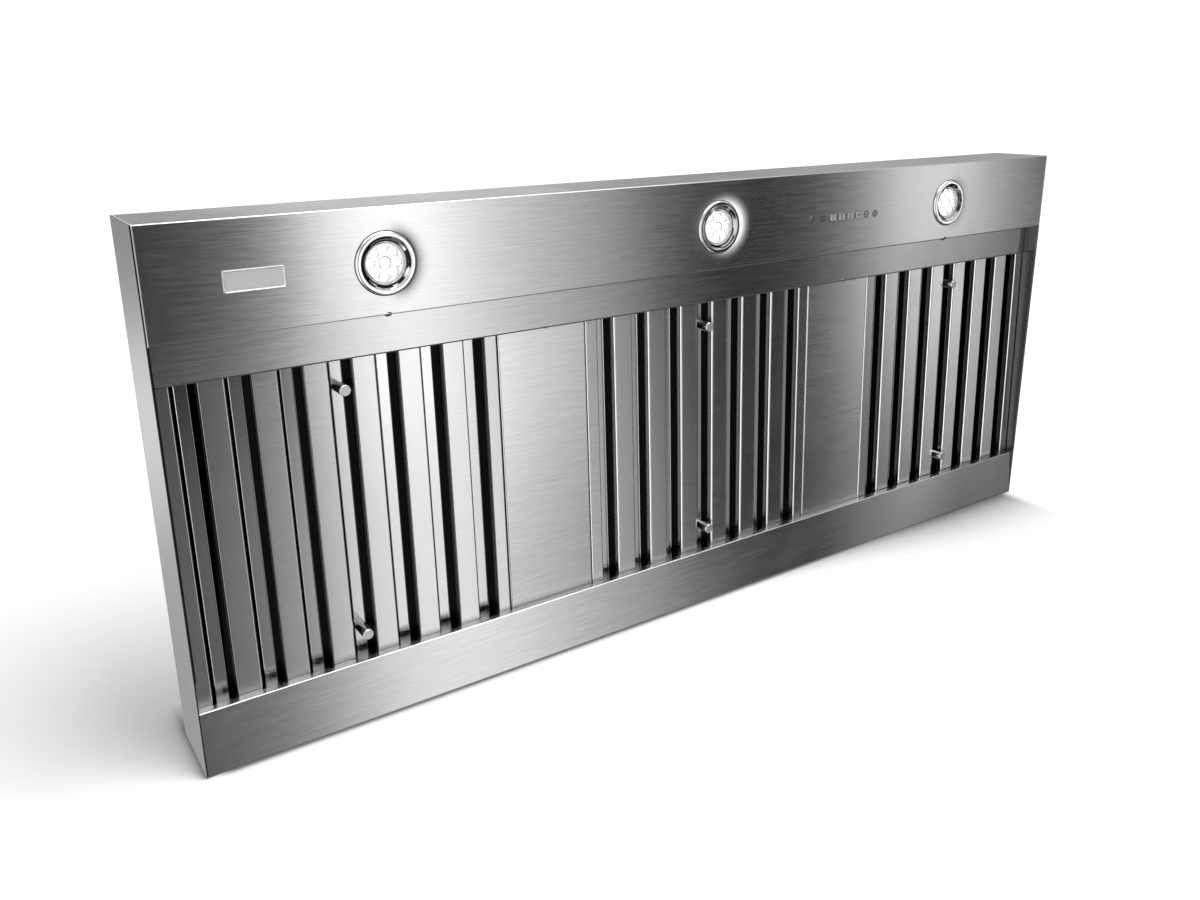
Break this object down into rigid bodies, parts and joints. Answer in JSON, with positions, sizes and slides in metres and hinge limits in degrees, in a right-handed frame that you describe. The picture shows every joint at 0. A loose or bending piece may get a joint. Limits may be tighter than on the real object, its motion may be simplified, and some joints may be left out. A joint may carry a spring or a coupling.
{
  "type": "range hood insert",
  "caption": "Wide shallow stainless range hood liner with lift-out baffle filters, flat filler panels, recessed round lights, push buttons and a round duct collar with backdraft flaps.",
  "frame": {"origin": "centre of the bottom of the bounding box: on the floor line of the rear edge, half-way along the width and half-way through the depth from the lights' bezels to the end of the duct collar", "axes": "+X to the right along the width as seen from the underside, +Y from the underside, which the cook sees, to the duct side, +Z from the rear edge with the grease trough up to the front wall with the lights. The insert is stored standing on its rear edge, as pictured; when it is installed, the face that looks along -Y here is turned down and +Z points to the cook"},
  "size_m": [1.33, 0.146, 0.562],
  "materials": {
    "panel_steel": "brushed along its length",
    "side_steel": "brushed along its length",
    "trough_steel": "brushed along its length",
    "rail_steel": "brushed along its length",
    "filler_steel": "brushed across",
    "filter_frame_steel": "brushed along the filter",
    "front_baffle_steel": "fine satin",
    "back_baffle_steel": "bright mill finish",
    "knob_steel": "turned",
    "bezel_steel": "polished",
    "lens_clear": "clear, lit from behind",
    "led_board": "white board with emitters",
    "can_aluminium": "spun",
    "spring_steel": "spring temper",
    "badge_metal": "plain brushed plate",
    "button_metal": "satin",
    "number_button_metal": "satin",
    "deck_steel": "galvanised",
    "board": "green solder mask",
    "dark_plastic": "moulded black",
    "driver_plastic": "moulded pale grey",
    "box_steel": "galvanised",
    "collar_steel": "galvanised",
    "rod_steel": "drawn rod",
    "flap_aluminium": "rolled",
    "fastener_steel": "zinc plated"
  },
  "bodies": {
    "shell": {"front_light_panel": "panel_steel", "left_side_wall": "side_steel", "right_side_wall": "side_steel", "rear_wall": "trough_steel", "front_filter_rail": "rail_steel", "rear_filter_rail": "rail_steel", "filler_panel_left": "filler_steel", "filler_panel_right": "filler_steel", "badge_plate": "badge_metal", "top_deck": "deck_steel", "electrical_divider": "deck_steel", "control_board": "board", "control_housing": "dark_plastic", "led_driver": "driver_plastic", "junction_box": "box_steel", "junction_box_cover": "box_steel", "cable_bushing": "dark_plastic", "duct_collar": "collar_steel", "flap_stops": "collar_steel", "damper_rod": "rod_steel", "deck_screws": "fastener_steel", "collar_rivets": "fastener_steel", "light_1_bezel": "bezel_steel", "light_1_lens": "lens_clear", "light_1_led_board": "led_board", "light_1_can": "can_aluminium", "light_1_clips": "spring_steel", "light_2_bezel": "bezel_steel", "light_2_lens": "lens_clear", "light_2_led_board": "led_board", "light_2_can": "can_aluminium", "light_2_clips": "spring_steel", "light_3_bezel": "bezel_steel", "light_3_lens": "lens_clear", "light_3_led_board": "led_board", "light_3_can": "can_aluminium", "light_3_clips": "spring_steel"},
    "filter_1": {"filter_1_side_rails": "filter_frame_steel", "filter_1_end_rails": "filter_frame_steel", "filter_1_front_baffles": "front_baffle_steel", "filter_1_back_baffles": "back_baffle_steel", "filter_1_knobs": "knob_steel"},
    "filter_2": {"filter_2_side_rails": "filter_frame_steel", "filter_2_end_rails": "filter_frame_steel", "filter_2_front_baffles": "front_baffle_steel", "filter_2_back_baffles": "back_baffle_steel", "filter_2_knobs": "knob_steel"},
    "filter_3": {"filter_3_side_rails": "filter_frame_steel", "filter_3_end_rails": "filter_frame_steel", "filter_3_front_baffles": "front_baffle_steel", "filter_3_back_baffles": "back_baffle_steel", "filter_3_knobs": "knob_steel"},
    "light_button": {"light_button": "button_metal"},
    "fan_button": {"fan_button": "button_metal"},
    "speed_button_1": {"speed_button_1": "number_button_metal"},
    "speed_button_2": {"speed_button_2": "number_button_metal"},
    "speed_button_3": {"speed_button_3": "number_button_metal"},
    "speed_button_4": {"speed_button_4": "number_button_metal"},
    "damper_flap_left": {"damper_flap_left": "flap_aluminium"},
    "damper_flap_right": {"damper_flap_right": "flap_aluminium"}
  },
  "joints": [
    {"name": "filter_1_lift", "type": "slide", "parent": "shell", "child": "filter_1", "axis": [0, 0.0281, 0.9996], "range_m": [0, 0.024]},
    {"name": "filter_2_lift", "type": "slide", "parent": "shell", "child": "filter_2", "axis": [0, 0.0281, 0.9996], "range_m": [0, 0.024]},
    {"name": "filter_3_lift", "type": "slide", "parent": "shell", "child": "filter_3", "axis": [0, 0.0281, 0.9996], "range_m": [0, 0.024]},
    {"name": "light_button_press", "type": "slide", "parent": "shell", "child": "light_button", "axis": [0, 1, 0], "range_m": [0, 0.0008], "stiffness_N_per_m": 1500, "springref_m": -0.0005},
    {"name": "fan_button_press", "type": "slide", "parent": "shell", "child": "fan_button", "axis": [0, 1, 0], "range_m": [0, 0.0008], "stiffness_N_per_m": 1500, "springref_m": -0.0005},
    {"name": "speed_button_1_press", "type": "slide", "parent": "shell", "child": "speed_button_1", "axis": [0, 1, 0], "range_m": [0, 0.0008], "stiffness_N_per_m": 1500, "springref_m": -0.0005},
    {"name": "speed_button_2_press", "type": "slide", "parent": "shell", "child": "speed_button_2", "axis": [0, 1, 0], "range_m": [0, 0.0008], "stiffness_N_per_m": 1500, "springref_m": -0.0005},
    {"name": "speed_button_3_press", "type": "slide", "parent": "shell", "child": "speed_button_3", "axis": [0, 1, 0], "range_m": [0, 0.0008], "stiffness_N_per_m": 1500, "springref_m": -0.0005},
    {"name": "speed_button_4_press", "type": "slide", "parent": "shell", "child": "speed_button_4", "axis": [0, 1, 0], "range_m": [0, 0.0008], "stiffness_N_per_m": 1500, "springref_m": -0.0005},
    {"name": "damper_flap_left_swing", "type": "hinge", "parent": "shell", "child": "damper_flap_left", "pos_m": [0, 0.043, 0.262], "axis": [0, 0, -1], "range_deg": [0, 80]},
    {"name": "damper_flap_right_swing", "type": "hinge", "parent": "shell", "child": "damper_flap_right", "pos_m": [0, 0.043, 0.262], "axis": [0, 0, 1], "range_deg": [0, 80]}
  ]
}
